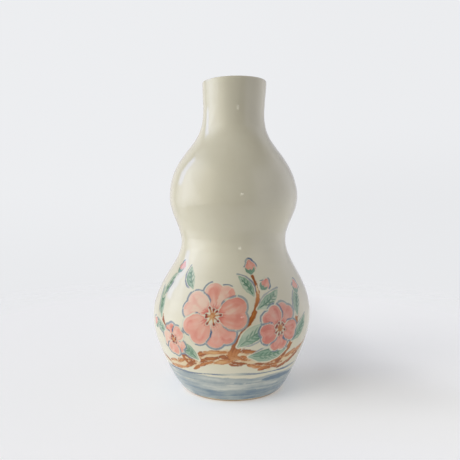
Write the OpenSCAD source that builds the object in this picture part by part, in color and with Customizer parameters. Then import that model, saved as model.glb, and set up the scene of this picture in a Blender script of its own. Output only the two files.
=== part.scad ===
// Double-gourd bud vase, thrown in two sections and luted at the waist.
// The origin is at the centre of the standing face, +Z is up, all sizes in millimetres.
// Every piece is turned on the wheel, so each one is a revolved cross-section. The outer
// and inner skins are smooth curves through a few stations: height, radius and slope.

/* [Foot] */
// Outer radius of the foot ring where it stands on the table
foot_r = 27; // [25:0.5:28]
// Width of the foot ring's standing face
foot_ring_w = 3.5; // [2.5:0.5:5]
// Depth of the turned recess inside the foot ring
foot_recess = 2.4; // [1:0.2:3.4]
// Height of the glaze line above the table
glaze_line = 1.6; // [1.2:0.1:2.4]

/* [Lower bulb] */
// Largest radius of the lower bulb
belly_r = 43.8; // [41:0.1:46]
// Height of the lower bulb's largest radius
belly_z = 41.5; // [39:0.5:44]

/* [Waist] */
// Radius of the waist
waist_r = 29; // [27:0.1:31]
// Height of the waist
waist_z = 82.5; // [80:0.5:85]
// Thickness of the luting slip between the two thrown sections
slip_t = 0.8; // [0.4:0.1:1.6]

/* [Upper bulb] */
// Largest radius of the upper bulb
bulb_r = 35.4; // [33:0.1:38]
// Height of the upper bulb's largest radius
bulb_z = 108; // [106:0.5:110]

/* [Neck and mouth] */
// Smallest radius of the neck
neck_r = 17.2; // [16.5:0.1:19]
// Height of the neck's smallest radius
neck_z = 154; // [152:0.5:157]
// Radius of the lip
lip_r = 17.8; // [17.2:0.1:20]
// Height of the vase, at the top of the lip
height = 170; // [168:1:176]
// Radius of the straight bore in the neck
mouth_r = 14; // [12:0.1:14.5]
// Length of the straight bore in the neck
mouth_len = 20; // [16:1:20]

/* [Walls] */
// Glazed wall at the belly
belly_wall = 4.4; // [3.6:0.1:5]
// Glazed wall at the waist and the upper bulb
upper_wall = 4; // [3.4:0.1:4.6]
// Height of the inside floor, on the glaze
floor_z = 8.4; // [7.6:0.2:10]
// Thickness of the glaze coat
glaze_t = 0.4; // [0.3:0.05:0.6]

/* [Hidden] */
$fn = 128;

// Spacing of the samples along the height
step = 3.5;

// The lip is a half round between the outside of the neck and the bore.
lip_rad = (lip_r - mouth_r) / 2;
lip_z = height - lip_rad;
bore_z = lip_z - mouth_len;

// Joint planes of the two thrown sections
joint_lo = waist_z - slip_t / 2;
joint_hi = waist_z + slip_t / 2;

// Outside stations, from the glaze line to the lip: height, radius, slope dr/dz.
OUTER = [
    [0, foot_r, 1.1],
    [3, foot_r + 2.6, 0.68],
    [17, belly_r - 6.8, 0.44],
    [belly_z, belly_r, 0],
    [waist_z - 19.5, waist_r + 8.2, -0.57],
    [waist_z, waist_r, 0],
    [waist_z + 11.5, waist_r + 3, 0.42],
    [bulb_z, bulb_r, 0],
    [bulb_z + 14, bulb_r - 3.4, -0.54],
    [neck_z - 20, neck_r + 6.8, -0.76],
    [neck_z, neck_r, 0],
    [lip_z, lip_r, 0]
];

// Inside stations, from the top of the rounded floor corner to the bore.
INNER = [
    [19, belly_r - 11.4, 0.44],
    [belly_z, belly_r - belly_wall, 0],
    [waist_z - 21.5, waist_r + 4.6, -0.57],
    [waist_z, waist_r - upper_wall, 0],
    [waist_z + 13, waist_r - 0.7, 0.42],
    [bulb_z, bulb_r - upper_wall, 0],
    [bulb_z + 12, bulb_r - 6.9, -0.54],
    [neck_z - 22.4, mouth_r + 6.8, -0.76],
    [bore_z, mouth_r, 0]
];

// Cubic through two stations, as a radius at height z
function piece_r(a, b, z) =
    let (h = b[0] - a[0], t = (z - a[0]) / h)
    a[1] * (2 * t * t * t - 3 * t * t + 1) + h * a[2] * (t * t * t - 2 * t * t + t)
    + b[1] * (3 * t * t - 2 * t * t * t) + h * b[2] * (t * t * t - t * t);

// Radius of a skin at height z: finds the pair of stations around z
function skin_r(S, z, i = 0) =
    (i >= len(S) - 2 || z <= S[i + 1][0])
    ? piece_r(S[i], S[i + 1], z) : skin_r(S, z, i + 1);

// Slope of a skin at height z
function skin_m(S, z) = (skin_r(S, z + 0.01) - skin_r(S, z - 0.01)) / 0.02;

// Point of a skin at height z, moved d along its normal, away from the axis
function skin_p(S, z, d = 0) =
    let (m = skin_m(S, z), c = 1 / sqrt(1 + m * m))
    [skin_r(S, z) + d * c, z - d * m * c];

// Heights from a to b, both included, about one step apart
function heights(a, b) =
    let (n = max(2, ceil((b - a) / step)))
    [for (i = [0:n]) a + (b - a) * i / n];

// A list from its last member to its first
function back(L) = [for (i = [len(L) - 1:-1:0]) L[i]];

// Quarter and half rounds of the lip, radius rr, from angle a to b
function lip_arc(rr, a, b, n = 10) =
    [for (i = [0:n]) let (t = a + (b - a) * i / n)
        [mouth_r + lip_rad + rr * cos(t), lip_z + rr * sin(t)]];

// Rounded corner between the inside wall and the floor, moved d outwards
corner_a = [INNER[0][1], INNER[0][0]];
corner_b = [INNER[0][1] - INNER[0][2] * (INNER[0][0] - floor_z), floor_z];
corner_c = [18, floor_z];
function corner_p(t, d = 0) =
    let (p = (1 - t) * (1 - t) * corner_a + 2 * t * (1 - t) * corner_b + t * t * corner_c,
         v = (1 - t) * (corner_b - corner_a) + t * (corner_c - corner_b),
         n = [-v[1], v[0]] / norm(v))
    p + d * n;
function corner(d) = [for (i = [0:8]) corner_p(1 - i / 8, d)];

// Outside of the clay, under the glaze, from the glaze line to each joint and to the lip
z_out_lo = heights(glaze_line, joint_lo);
z_out_hi = heights(joint_hi, lip_z);
function out_lo(d) = [for (z = z_out_lo) skin_p(OUTER, z, d)];
function out_hi(d) = [for (z = z_out_hi) z > lip_z - 0.001
    ? [lip_r + d, lip_z] : skin_p(OUTER, z, d)];

// Inside, from the top of the floor corner to each joint and to the bore
z_in_lo = heights(INNER[0][0], joint_lo);
z_in_hi = heights(joint_hi, bore_z);
function in_lo(d) = [for (i = [1:len(z_in_lo) - 1]) skin_p(INNER, z_in_lo[i], d)];
function in_hi(d) = [for (z = z_in_hi) z > bore_z - 0.001
    ? [mouth_r + d, bore_z] : skin_p(INNER, z, d)];

// Lower thrown section: floor, turned foot ring and belly wall, up to the joint
module lower_bulb() {
    color([0.80, 0.72, 0.60])
    rotate_extrude()
    polygon(concat(
        // turned recess and foot ring, with its edges eased
        [[0, foot_recess], [foot_r - foot_ring_w - 1.6, foot_recess],
         [foot_r - foot_ring_w - 0.8, foot_recess - 0.7],
         [foot_r - foot_ring_w, 0], [foot_r - 0.3, 0]],
        [[skin_r(OUTER, glaze_line) - 0.2, glaze_line - 0.6]],
        // outside, under the glaze
        out_lo(-glaze_t),
        // inside, under the liner, down to the floor
        back(in_lo(glaze_t)), back(corner(glaze_t)),
        [[0, floor_z - glaze_t]]
    ));
}

// Luting slip between the two thrown sections
module waist_slip() {
    color([0.72, 0.66, 0.56])
    rotate_extrude()
    polygon([
        skin_p(OUTER, joint_lo, -glaze_t), skin_p(OUTER, joint_hi, -glaze_t),
        skin_p(INNER, joint_hi, glaze_t), skin_p(INNER, joint_lo, glaze_t)
    ]);
}

// Upper thrown section: bulb, neck and rounded lip
module upper_bulb() {
    color([0.82, 0.75, 0.64])
    rotate_extrude()
    polygon(concat(
        out_hi(-glaze_t),
        [for (i = [1:10]) lip_arc(lip_rad - glaze_t, 0, 180)[i]],
        back(in_hi(glaze_t))
    ));
}

// Glossy cream coat of the outside, from the glaze line over the lip
module outer_glaze() {
    color([0.87, 0.86, 0.78])
    rotate_extrude()
    polygon(concat(
        out_lo(0), out_hi(0),
        [for (i = [1:10]) lip_arc(lip_rad, 0, 180)[i]],
        back(lip_arc(lip_rad - glaze_t, 0, 180)),
        [for (i = [len(z_out_hi) - 2:-1:0]) out_hi(-glaze_t)[i]],
        back(out_lo(-glaze_t))
    ));
}

// Poured coat of the inside: the floor, both chambers and the straight bore
module liner_glaze() {
    color([0.90, 0.89, 0.83])
    rotate_extrude()
    polygon(concat(
        [[0, floor_z - glaze_t]], corner(glaze_t), in_lo(glaze_t), in_hi(glaze_t),
        [[mouth_r + glaze_t, lip_z], [mouth_r, lip_z]],
        back(in_hi(0)), back(in_lo(0)), back(corner(0)),
        [[0, floor_z]]
    ));
}

lower_bulb();
waist_slip();
upper_bulb();
outer_glaze();
liner_glaze();
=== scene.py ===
import math

import bpy
import numpy as np
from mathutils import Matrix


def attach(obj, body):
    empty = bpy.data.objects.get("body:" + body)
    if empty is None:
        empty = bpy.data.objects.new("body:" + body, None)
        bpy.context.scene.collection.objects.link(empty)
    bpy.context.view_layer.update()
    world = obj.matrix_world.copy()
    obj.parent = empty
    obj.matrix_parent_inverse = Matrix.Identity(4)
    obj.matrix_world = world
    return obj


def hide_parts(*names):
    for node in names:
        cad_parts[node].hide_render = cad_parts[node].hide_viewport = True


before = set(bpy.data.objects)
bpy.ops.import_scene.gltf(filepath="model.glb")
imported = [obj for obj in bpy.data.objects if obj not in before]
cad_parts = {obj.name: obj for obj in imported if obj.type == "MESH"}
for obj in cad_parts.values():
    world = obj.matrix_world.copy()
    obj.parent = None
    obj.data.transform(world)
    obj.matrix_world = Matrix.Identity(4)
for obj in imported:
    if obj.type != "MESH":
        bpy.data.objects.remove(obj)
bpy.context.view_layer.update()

MM = 0.001

# ---------------------------------------------------------------- profile
# The same stations as the construction: height, radius, slope (mm).
OUTER = [
    (0, 27.0, 1.1), (3, 29.6, 0.68), (17, 37.0, 0.44), (41.5, 43.8, 0),
    (63, 37.2, -0.57), (82.5, 29.0, 0), (94, 32.0, 0.42), (108, 35.4, 0),
    (122, 32.0, -0.54), (134, 24.0, -0.76), (154, 17.2, 0), (168.1, 17.8, 0),
]
INNER = [
    (19, 32.4, 0.44), (41.5, 39.4, 0), (61, 33.6, -0.57), (82.5, 25.0, 0),
    (95.5, 28.3, 0.42), (108, 31.4, 0), (120, 28.5, -0.54),
    (131.6, 20.8, -0.76), (148.1, 14.0, 0),
]
LIP_R, MOUTH_R, LIP_Z, HEIGHT = 17.8, 14.0, 168.1, 170.0
LIP_RAD = (LIP_R - MOUTH_R) / 2
WAIST_Z, SLIP_T, GLAZE_T, FLOOR_Z = 82.5, 0.8, 0.4, 8.4
GLAZE_LINE = 1.0


def hermite(S, z):
    z = np.asarray(z, float)
    zs = np.array([s[0] for s in S], float)
    i = np.clip(np.searchsorted(zs, z, side="right") - 1, 0, len(S) - 2)
    a = np.array(S, float)[i]
    b = np.array(S, float)[i + 1]
    h = b[..., 0] - a[..., 0]
    t = (z - a[..., 0]) / h
    return (a[..., 1] * (2 * t**3 - 3 * t**2 + 1) + h * a[..., 2] * (t**3 - 2 * t**2 + t)
            + b[..., 1] * (3 * t**2 - 2 * t**3) + h * b[..., 2] * (t**3 - t**2))


def smooth_table(S, z0, z1, sigma):
    """Radius over height, eased so that the curvature runs on through the stations."""
    step = 0.1
    z = np.arange(z0, z1 + step / 2, step)
    r = hermite(S, z)
    n = int(4 * sigma / step)
    k = np.exp(-0.5 * (np.arange(-n, n + 1) * step / sigma) ** 2)
    k /= k.sum()
    lo = 2 * r[0] - r[1:n + 1][::-1]
    hi = 2 * r[-1] - r[-n - 1:-1][::-1]
    r = np.convolve(np.concatenate([lo, r, hi]), k, mode="valid")
    return z, r


OUT_Z, OUT_R = smooth_table(OUTER, 0, LIP_Z, 1.6)
IN_Z, IN_R = smooth_table(INNER, 19, 148.1, 1.6)


def skin(zt, rt, z, d=0.0):
    """Points of a skin at the heights z, moved d along the normal, away from the axis."""
    z = np.asarray(z, float)
    r = np.interp(z, zt, rt)
    m = (np.interp(z + 0.15, zt, rt) - np.interp(z - 0.15, zt, rt)) / 0.3
    edge = (z + 0.15 > zt[-1]) | (z - 0.15 < zt[0])
    m = np.where(edge, m * 2, m)
    c = 1 / np.sqrt(1 + m * m)
    return np.stack([r + d * c, z - d * m * c], 1)


def arc_lengths(p):
    return np.concatenate([[0], np.cumsum(np.hypot(*np.diff(p, axis=0).T))])


def resample(p, spacing):
    """The polyline p with about that spacing; spacing may be a function of the length s."""
    s = arc_lengths(p)
    if callable(spacing):
        at, out = 0.0, [0.0]
        while at < s[-1]:
            at += spacing(at)
            out.append(at)
        out = np.array(out) * (s[-1] / out[-1])
    else:
        out = np.linspace(0, s[-1], max(2, int(round(s[-1] / spacing)) + 1))
    return np.stack([np.interp(out, s, p[:, 0]), np.interp(out, s, p[:, 1])], 1)


# ------------------------------------------------------- hand-thrown wobble
def off_axis(z):
    """How far the thrown wall has wandered from the wheel's axis, in mm (to the right, x)."""
    return np.interp(z, [0, 4, 14, 30, 45, 56, 66, 76, 83, 89, 96, 108, 118, 124, 134, 142, 152, 170],
                     [0.2, -0.2, -0.5, -0.5, -0.4, 0.05, 0.35, 0.7, 0.55, 0.15, 0.42, 0.58, 0.25, 0.12, 0.2, 0.42, 0.72, 1.15])


def off_back(z):
    """The same wandering towards the back (y), in mm."""
    return np.interp(z, [0, 97, 117, 170], [0.0, 0.0, 1.0, 0.9])


def settle(z):
    """How far the thrown profile differs from the drawn one, in mm of radius."""
    return np.interp(z, [0, 50, 58, 62, 66, 70, 76, 82, 88, 94, 99, 103, 107, 111, 116, 120, 124, 128, 133, 137, 141, 146, 151, 158, 164, 170],
                     [0, 0, -0.12, -0.10, -0.10, -0.20, -0.26, -0.23, -0.10, 0.02, 0.30, 0.32, 0.22, 0.04, -0.16, 0.0, 0.26, 0.22,
                      0.08, -0.14, -0.42, -0.40, -0.18, -0.16, -0.10, 0.10])


_oz = np.arange(-2, 173, 0.5)
_ov = off_axis(_oz)
_k = np.exp(-0.5 * (np.arange(-16, 17) * 0.5 / 3.0) ** 2)
_k /= _k.sum()
_ov = np.convolve(np.pad(_ov, 16, mode="edge"), _k, mode="valid")
_ob = np.convolve(np.pad(off_back(_oz), 16, mode="edge"), _k, mode="valid")
_dr = np.convolve(np.pad(settle(_oz), 16, mode="edge"), _k, mode="valid")


def wobble(phi, z):
    """Radial change in mm at angle phi and height z: out-of-round, finger rings, small dents."""
    ring = 0.032 * np.sin(2 * np.pi * (z / 5.6) + phi + 0.9 * np.sin(z / 13.0))
    ring += 0.025 * np.sin(2 * np.pi * (z / 9.3) + phi * 1.0 + 1.3)
    slow = 0.22 + (0.12 * np.sin(2 * phi + z / 31.0 + 2.2) + 0.06 * np.sin(3 * phi - z / 22.0 + 1.0)
            + 0.035 * np.sin(5 * phi + z / 12.0 + 2.0))
    full = 0.42 * np.exp(-((z - 103.3) / 3.7) ** 2) * np.clip(np.cos(phi + 0.25), 0, 1) ** 1.5
    fade = np.clip(z / 6.0, 0, 1)
    return fade * (ring + slow + full + np.interp(z, _oz, _dr))


def place(phi, r, z):
    """Angle (0 is the front, -y), radius and height in mm, to points in metres."""
    rr = r + np.where(r > 1e-6, wobble(phi, z), 0)
    # the lip isn't quite level
    dz = np.clip((z - 150) / 20, 0, 1) ** 2 * (0.3 * np.sin(phi) - 0.02 + 0.5 * (1 - np.cos(phi)) + 0.2 * np.sin(phi) ** 4) * np.where(r > 1e-6, 1, 0)
    x = rr * np.sin(phi) + np.interp(z, _oz, _ov)
    y = -rr * np.cos(phi) + np.interp(z, _oz, _ob)
    return np.stack([x * MM, y * MM, (z + dz) * MM], -1)


# --------------------------------------------------------------- angles
def columns(n_front, n_back, half=math.radians(92)):
    """Angles round the vase from -pi to pi, closer together over the front."""
    front = np.linspace(-half, half, n_front, endpoint=False)
    b1 = np.linspace(half, math.pi, n_back // 2, endpoint=False)
    b0 = np.linspace(-math.pi, -half, n_back - n_back // 2, endpoint=False)
    return np.concatenate([b0, front, b1])


def revolve(name, mer, phi, uv_v=None):
    """A closed shell from a closed meridian (r, z), in the order that puts the solid on its
    left. Points with r = 0 are poles. uv_v gives each strip's place in the map's height."""
    n, m = len(phi), len(mer)
    verts, row = [], []
    count = 0
    for i, (r, z) in enumerate(mer):
        if r < 1e-6:
            verts.append(place(np.zeros(1), np.zeros(1), np.full(1, z)))
            row.append((count, 1))
            count += 1
        else:
            verts.append(place(phi, np.full(n, r), np.full(n, z)))
            row.append((count, n))
            count += n
    verts = np.concatenate(verts)
    poled = mer[0][0] < 1e-6
    j = np.arange(n)
    k = (j + 1) % n
    quads, tris, quv, tuv = [], [], [], []
    pairs = m - 1 if poled else m
    u0 = np.append(phi, phi[0] + 2 * math.pi)
    u0 = (u0 - u0[0]) / (2 * math.pi)
    for i in range(pairs):
        a, b = i, (i + 1) % m
        (sa, na), (sb, nb) = row[a], row[b]
        va, vb = (uv_v[i] if uv_v is not None else (i / pairs, (i + 1) / pairs))
        if na == n and nb == n:
            quads.append(np.stack([sa + j, sa + k, sb + k, sb + j], 1))
            quv.append(np.stack([np.stack([u0[:-1], np.full(n, va)], 1), np.stack([u0[1:], np.full(n, va)], 1),
                                 np.stack([u0[1:], np.full(n, vb)], 1), np.stack([u0[:-1], np.full(n, vb)], 1)], 1))
        elif na == 1:
            tris.append(np.stack([np.full(n, sa), sb + k, sb + j], 1))
            tuv.append(np.stack([np.stack([u0[:-1], np.full(n, va)], 1), np.stack([u0[1:], np.full(n, vb)], 1),
                                 np.stack([u0[:-1], np.full(n, vb)], 1)], 1))
        else:
            tris.append(np.stack([sa + j, sa + k, np.full(n, sb)], 1))
            tuv.append(np.stack([np.stack([u0[:-1], np.full(n, va)], 1), np.stack([u0[1:], np.full(n, va)], 1),
                                 np.stack([u0[:-1], np.full(n, vb)], 1)], 1))
    quads = np.concatenate(quads) if quads else np.zeros((0, 4), int)
    tris = np.concatenate(tris) if tris else np.zeros((0, 3), int)
    uv = [a.reshape(-1, 2) for a in quv] + [a.reshape(-1, 2) for a in tuv]
    me = bpy.data.meshes.new(name)
    me.vertices.add(len(verts))
    me.vertices.foreach_set("co", verts.astype(np.float32).ravel())
    loops = np.concatenate([quads.ravel(), tris.ravel()]).astype(np.int32)
    me.loops.add(len(loops))
    me.loops.foreach_set("vertex_index", loops)
    starts = np.concatenate([np.arange(len(quads)) * 4, len(quads) * 4 + np.arange(len(tris)) * 3]).astype(np.int32)
    me.polygons.add(len(starts))
    me.polygons.foreach_set("loop_start", starts)
    me.polygons.foreach_set("use_smooth", np.ones(len(starts), bool))
    me.update(calc_edges=True)
    me.validate()
    me.set_sharp_from_angle(angle=math.radians(50))
    layer = me.uv_layers.new(name="OFBake")
    layer.uv.foreach_set("vector", np.concatenate(uv).astype(np.float32).ravel())
    ob = bpy.data.objects.new(name, me)
    bpy.context.scene.collection.objects.link(ob)
    return ob, row


# ------------------------------------------------------------- node helper
class Nodes:
    """Short calls that add shader nodes to one material."""

    def __init__(self, name):
        self.mat = bpy.data.materials.new(name)
        self.mat.use_nodes = True
        self.t = self.mat.node_tree
        self.t.nodes.clear()
        self.out = self.t.nodes.new("ShaderNodeOutputMaterial")

    def put(self, socket, value):
        if isinstance(value, bpy.types.NodeSocket):
            self.t.links.new(value, socket)
        elif value is not None:
            socket.default_value = value

    def math(self, op, a, b=None, c=None, clamp=False):
        n = self.t.nodes.new("ShaderNodeMath")
        n.operation = op
        n.use_clamp = clamp
        for s, v in zip(n.inputs, (a, b, c)):
            self.put(s, v)
        return n.outputs[0]

    def attr(self, name, out="Fac"):
        n = self.t.nodes.new("ShaderNodeAttribute")
        n.attribute_type = "GEOMETRY"
        n.attribute_name = name
        return n.outputs[out]

    def step(self, value, lo, hi, smooth=True):
        n = self.t.nodes.new("ShaderNodeMapRange")
        n.interpolation_type = "SMOOTHSTEP" if smooth else "LINEAR"
        self.put(n.inputs["Value"], value)
        n.inputs["From Min"].default_value = lo
        n.inputs["From Max"].default_value = hi
        return n.outputs[0]

    def span(self, value, lo, hi, a, b):
        n = self.t.nodes.new("ShaderNodeMapRange")
        self.put(n.inputs["Value"], value)
        n.inputs["From Min"].default_value = lo
        n.inputs["From Max"].default_value = hi
        n.inputs["To Min"].default_value = a
        n.inputs["To Max"].default_value = b
        return n.outputs[0]

    def mix(self, fac, a, b, blend="MIX"):
        n = self.t.nodes.new("ShaderNodeMix")
        n.data_type = "RGBA"
        n.blend_type = blend
        n.clamp_factor = True
        self.put(n.inputs[0], fac)
        self.put(n.inputs[6], a)
        self.put(n.inputs[7], b)
        return n.outputs[2]

    def coords(self, out="Object"):
        n = self.t.nodes.new("ShaderNodeTexCoord")
        return n.outputs[out]

    def mapping(self, vec, scale=(1, 1, 1), loc=(0, 0, 0), rot=(0, 0, 0)):
        n = self.t.nodes.new("ShaderNodeMapping")
        self.put(n.inputs[0], vec)
        n.inputs["Scale"].default_value = scale
        n.inputs["Location"].default_value = loc
        n.inputs["Rotation"].default_value = rot
        return n.outputs[0]

    def noise(self, vec, scale, detail=3, rough=0.5, dist=0.0, out=0):
        n = self.t.nodes.new("ShaderNodeTexNoise")
        self.put(n.inputs["Vector"], vec)
        n.inputs["Scale"].default_value = scale
        n.inputs["Detail"].default_value = detail
        n.inputs["Roughness"].default_value = rough
        n.inputs["Distortion"].default_value = dist
        return n.outputs[out]

    def bsdf(self, **k):
        n = self.t.nodes.new("ShaderNodeBsdfPrincipled")
        for key, v in k.items():
            self.put(n.inputs[key.replace("_", " ")], v)
        self.t.links.new(n.outputs[0], self.out.inputs[0])
        return n

    def bump(self, height, strength, distance):
        n = self.t.nodes.new("ShaderNodeBump")
        self.put(n.inputs["Height"], height)
        n.inputs["Strength"].default_value = strength
        n.inputs["Distance"].default_value = distance
        return n.outputs[0]


def rgb(r, g, b):
    """A colour given in display values 0-255, as linear."""
    f = lambda v: (v / 255 / 12.92) if v / 255 <= 0.04045 else ((v / 255 + 0.055) / 1.055) ** 2.4
    return (f(r), f(g), f(b), 1.0)


# --------------------------------------------------------------- meridians
def joined(*parts):
    """Polylines end to end, without the doubled points where they meet."""
    out = [parts[0]]
    for p in parts[1:]:
        out.append(p[1:] if np.hypot(*(p[0] - out[-1][-1])) < 1e-4 else p)
    return np.concatenate(out)


def lip_arc(rad, a0, a1, n):
    t = np.radians(np.linspace(a0, a1, n))
    c, s = np.cos(t), np.sin(t)
    p = np.where(c > 0, 2 / 8.0, 2 / 2.6)
    return np.stack([MOUTH_R + LIP_RAD + rad * np.sign(c) * np.abs(c) ** p, LIP_Z + rad * np.abs(s) ** p], 1)


def corner(d, n=26):
    a, b, c = np.array([32.4, 19.0]), np.array([27.74, FLOOR_Z]), np.array([18.0, FLOOR_Z])
    t = np.linspace(0, 1, n)[:, None]
    p = (1 - t) ** 2 * a + 2 * t * (1 - t) * b + t * t * c
    v = (1 - t) * (b - a) + t * (c - b)
    nrm = np.stack([-v[:, 1], v[:, 0]], 1) / np.hypot(v[:, 0], v[:, 1])[:, None]
    return p + d * nrm


def out_line(z0, z1, d, n=700):
    return skin(OUT_Z, OUT_R, np.linspace(z0, z1, n), d)


def in_line(z0, z1, d, n=600):
    return skin(IN_Z, IN_R, np.linspace(z0, z1, n), d)


# ---- outer glaze: its outside, from the rounded roll at the glaze line up over the lip
roll_c = skin(OUT_Z, OUT_R, [GLAZE_LINE + 0.25], -GLAZE_T / 2)[0]
roll_m = (np.interp(2.2, OUT_Z, OUT_R) - np.interp(1.4, OUT_Z, OUT_R)) / 0.8
roll_a = math.atan2(-roll_m, 1.0)  # direction of the outward normal in (r, z)
roll_t = np.linspace(roll_a - math.pi, roll_a, 9)
roll = np.stack([roll_c[0] + 0.2 * np.cos(roll_t), roll_c[1] + 0.2 * np.sin(roll_t)], 1)
outside = joined(out_line(GLAZE_LINE + 0.25, LIP_Z, 0.0), lip_arc(LIP_RAD, 0, 180, 240))
LIP_S = arc_lengths(out_line(GLAZE_LINE + 0.25, LIP_Z, 0.0))[-1]
PAINT_TOP = 93.0  # length along the outside up to which the rows are close together


def glaze_spacing(s):
    return 0.6 if s < PAINT_TOP else (0.6 + min(1.0, (s - PAINT_TOP) / 6) * 1.3 if s < LIP_S - 0.6 else 0.34)


outside = resample(outside, glaze_spacing)
under = joined(lip_arc(LIP_RAD - GLAZE_T, 180, 0, 5), resample(out_line(LIP_Z, GLAZE_LINE + 0.25, -GLAZE_T), 7.6))
glaze_mer = np.concatenate([roll[:-1], outside, under[:-1]])
n_roll, n_out = len(roll) - 1, len(outside)
PHI = columns(262, 122)

# places in the bake's map: the outside fills most of it, the hidden inner side a thin strip
s_out = arc_lengths(outside)
V_OUT = 0.93
v_rows = []
for i in range(len(glaze_mer)):
    def v_at(q):
        if q < n_roll:
            return 0.004 + 0.012 * q / n_roll
        if q < n_roll + n_out:
            return 0.016 + V_OUT * s_out[q - n_roll] / s_out[-1]
        return 0.016 + V_OUT + 0.05 * (q - n_roll - n_out + 1) / (len(glaze_mer) - n_roll - n_out)
    v_rows.append((v_at(i), v_at(i + 1)))
glaze, glaze_rows = revolve("glaze_coat", glaze_mer, PHI, uv_v=v_rows)

# ---------------------------------------------------------------- painting
# A flowering bough, brushed under the glaze. Every stroke is worked out on the wall itself:
# a path in (angle, length up the wall), a width and a load of colour along it. The vertices
# hold each layer's distance to its edge (mm, negative inside) and its load; the material
# turns those into edges, so they stay crisp between the vertices.
NR = int(np.searchsorted(s_out, PAINT_TOP - 1.0))
NC = len(PHI)
ROW_S, ROW_R, ROW_Z = s_out[:NR], outside[:NR, 0], outside[:NR, 1]
UP = int(np.argmax(outside[:, 1]))


def wrap(a):
    return (a + np.pi) % (2 * np.pi) - np.pi


def at(deg, z):
    return math.radians(deg), float(np.interp(z, outside[:UP, 1], s_out[:UP]))


def radius(s):
    return np.interp(s, s_out, outside[:, 0])


def hash01(i, j, seed):
    v = np.sin(i * 127.1 + j * 311.7 + seed * 74.7) * 43758.5453
    return v - np.floor(v)


def vnoise(x, y, seed=0.0):
    """Smooth noise between -1 and 1."""
    x, y = np.broadcast_arrays(np.asarray(x, float), np.asarray(y, float))
    i, j = np.floor(x), np.floor(y)
    u, v = x - i, y - j
    u, v = u * u * (3 - 2 * u), v * v * (3 - 2 * v)
    a = hash01(i, j, seed) * (1 - u) + hash01(i + 1, j, seed) * u
    b = hash01(i, j + 1, seed) * (1 - u) + hash01(i + 1, j + 1, seed) * u
    return 2 * (a * (1 - v) + b * v) - 1


def sstep(x, a, b):
    t = np.clip((x - a) / (b - a), 0, 1)
    return t * t * (3 - 2 * t)


def curve(pts, n=26):
    """A smooth curve through the points."""
    p = np.array(pts, float)
    p = np.vstack([2 * p[0] - p[1], p, 2 * p[-1] - p[-2]])
    m = len(p) - 3
    out = []
    for k in range(n + 1):
        u = k / n * m
        i = min(int(u), m - 1)
        t = u - i
        a, b, c, d = p[i:i + 4]
        out.append(0.5 * (2 * b + (c - a) * t + (2 * a - 5 * b + 4 * c - d) * t * t + (3 * b - a - 3 * c + d) * t**3))
    return np.array(out)


class Spot:
    """A point of the wall, with millimetres to the right and up the wall round it."""

    def __init__(self, deg, z, turn=0.0, sx=1.0, sy=1.0):
        self.phi, self.s = at(deg, z)
        self.turn, self.sx, self.sy = math.radians(turn), sx, sy

    def __call__(self, pts):
        pts = np.atleast_2d(np.array(pts, float))
        c, s = math.cos(self.turn), math.sin(self.turn)
        x = c * pts[:, 0] - s * pts[:, 1]
        y = s * pts[:, 0] + c * pts[:, 1]
        s1 = self.s + y * self.sy
        return np.stack([self.phi + x * self.sx / radius(s1), s1], 1)


def near(path, pad):
    """The part of the wall round a path: rows, columns, distance, side and place along it."""
    mid = path[len(path) // 2, 0]
    rel = wrap(path[:, 0] - mid)
    s = path[:, 1]
    w = pad / max(20.0, float(radius(s).min()) - 4)
    rc = wrap(PHI - mid)
    cols = np.nonzero((rc > rel.min() - w) & (rc < rel.max() + w))[0]
    rows = np.nonzero((ROW_S > s.min() - pad) & (ROW_S < s.max() + pad))[0]
    if not len(cols) or not len(rows):
        return None
    F, S, R = rc[cols][None, :], ROW_S[rows][:, None], ROW_R[rows][:, None]
    best = np.full((len(rows), len(cols)), 1e9)
    side, place = np.zeros_like(best), np.zeros_like(best)
    rad = radius(s)
    mids = (rel[1:] + rel[:-1]) / 2
    rm = (rad[1:] + rad[:-1]) / 2
    ln = np.hypot(rm * np.diff(rel), np.diff(s))
    cum = np.concatenate([[0], np.cumsum(ln)])
    for i in range(len(path) - 1):
        ax, bx = rm[i] * (rel[i] - mids[i]), rm[i] * (rel[i + 1] - mids[i])
        ux, uy = bx - ax, s[i + 1] - s[i]
        X, Y = R * (F - mids[i]) - ax, S - s[i]
        t = np.clip((X * ux + Y * uy) / (ux * ux + uy * uy + 1e-9), 0, 1)
        dx, dy = X - t * ux, Y - t * uy
        d = np.hypot(dx, dy)
        m = d < best
        best = np.where(m, d, best)
        side = np.where(m, np.sign(ux * dy - uy * dx), side)
        place = np.where(m, (cum[i] + t * ln[i]) / cum[-1], place)
    return np.ix_(rows, cols), best, side, place, cum[-1]


FILLS = ("wash", "bark", "dab", "leaf", "petal", "heart")
LINES = ("ink", "vein")
D = {k: np.full((NR, NC), 3.0) for k in FILLS}
LOAD = {k: np.full((NR, NC), 0.4) for k in FILLS}
Q = {k: np.full((NR, NC), 4.0) for k in LINES}
OP = {k: np.zeros((NR, NC)) for k in LINES}


def lay(name, ix, d, load):
    """Adds one stroke to a layer."""
    old = D[name][ix]
    m = (d < old) & (d < 1.0)
    LOAD[name][ix] = np.where(m, load, LOAD[name][ix])
    D[name][ix] = np.minimum(old, d)


def deepen(name, ix, d, load):
    """A second touch of the brush over a layer that is already there."""
    old = LOAD[name][ix]
    LOAD[name][ix] = old + (np.maximum(load, old) - old) * sstep(-d, -0.3, 0.5)
    D[name][ix] = np.minimum(D[name][ix], d)


def clear(names, ix, d, gap):
    """Keeps the layers underneath clear of a shape, as a painter leaves room for it."""
    for n in names:
        D[n][ix] = np.maximum(D[n][ix], gap - d)
    for n in LINES:
        OP[n][ix] = OP[n][ix] * sstep(d, gap - 0.5, gap + 0.3)


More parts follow.
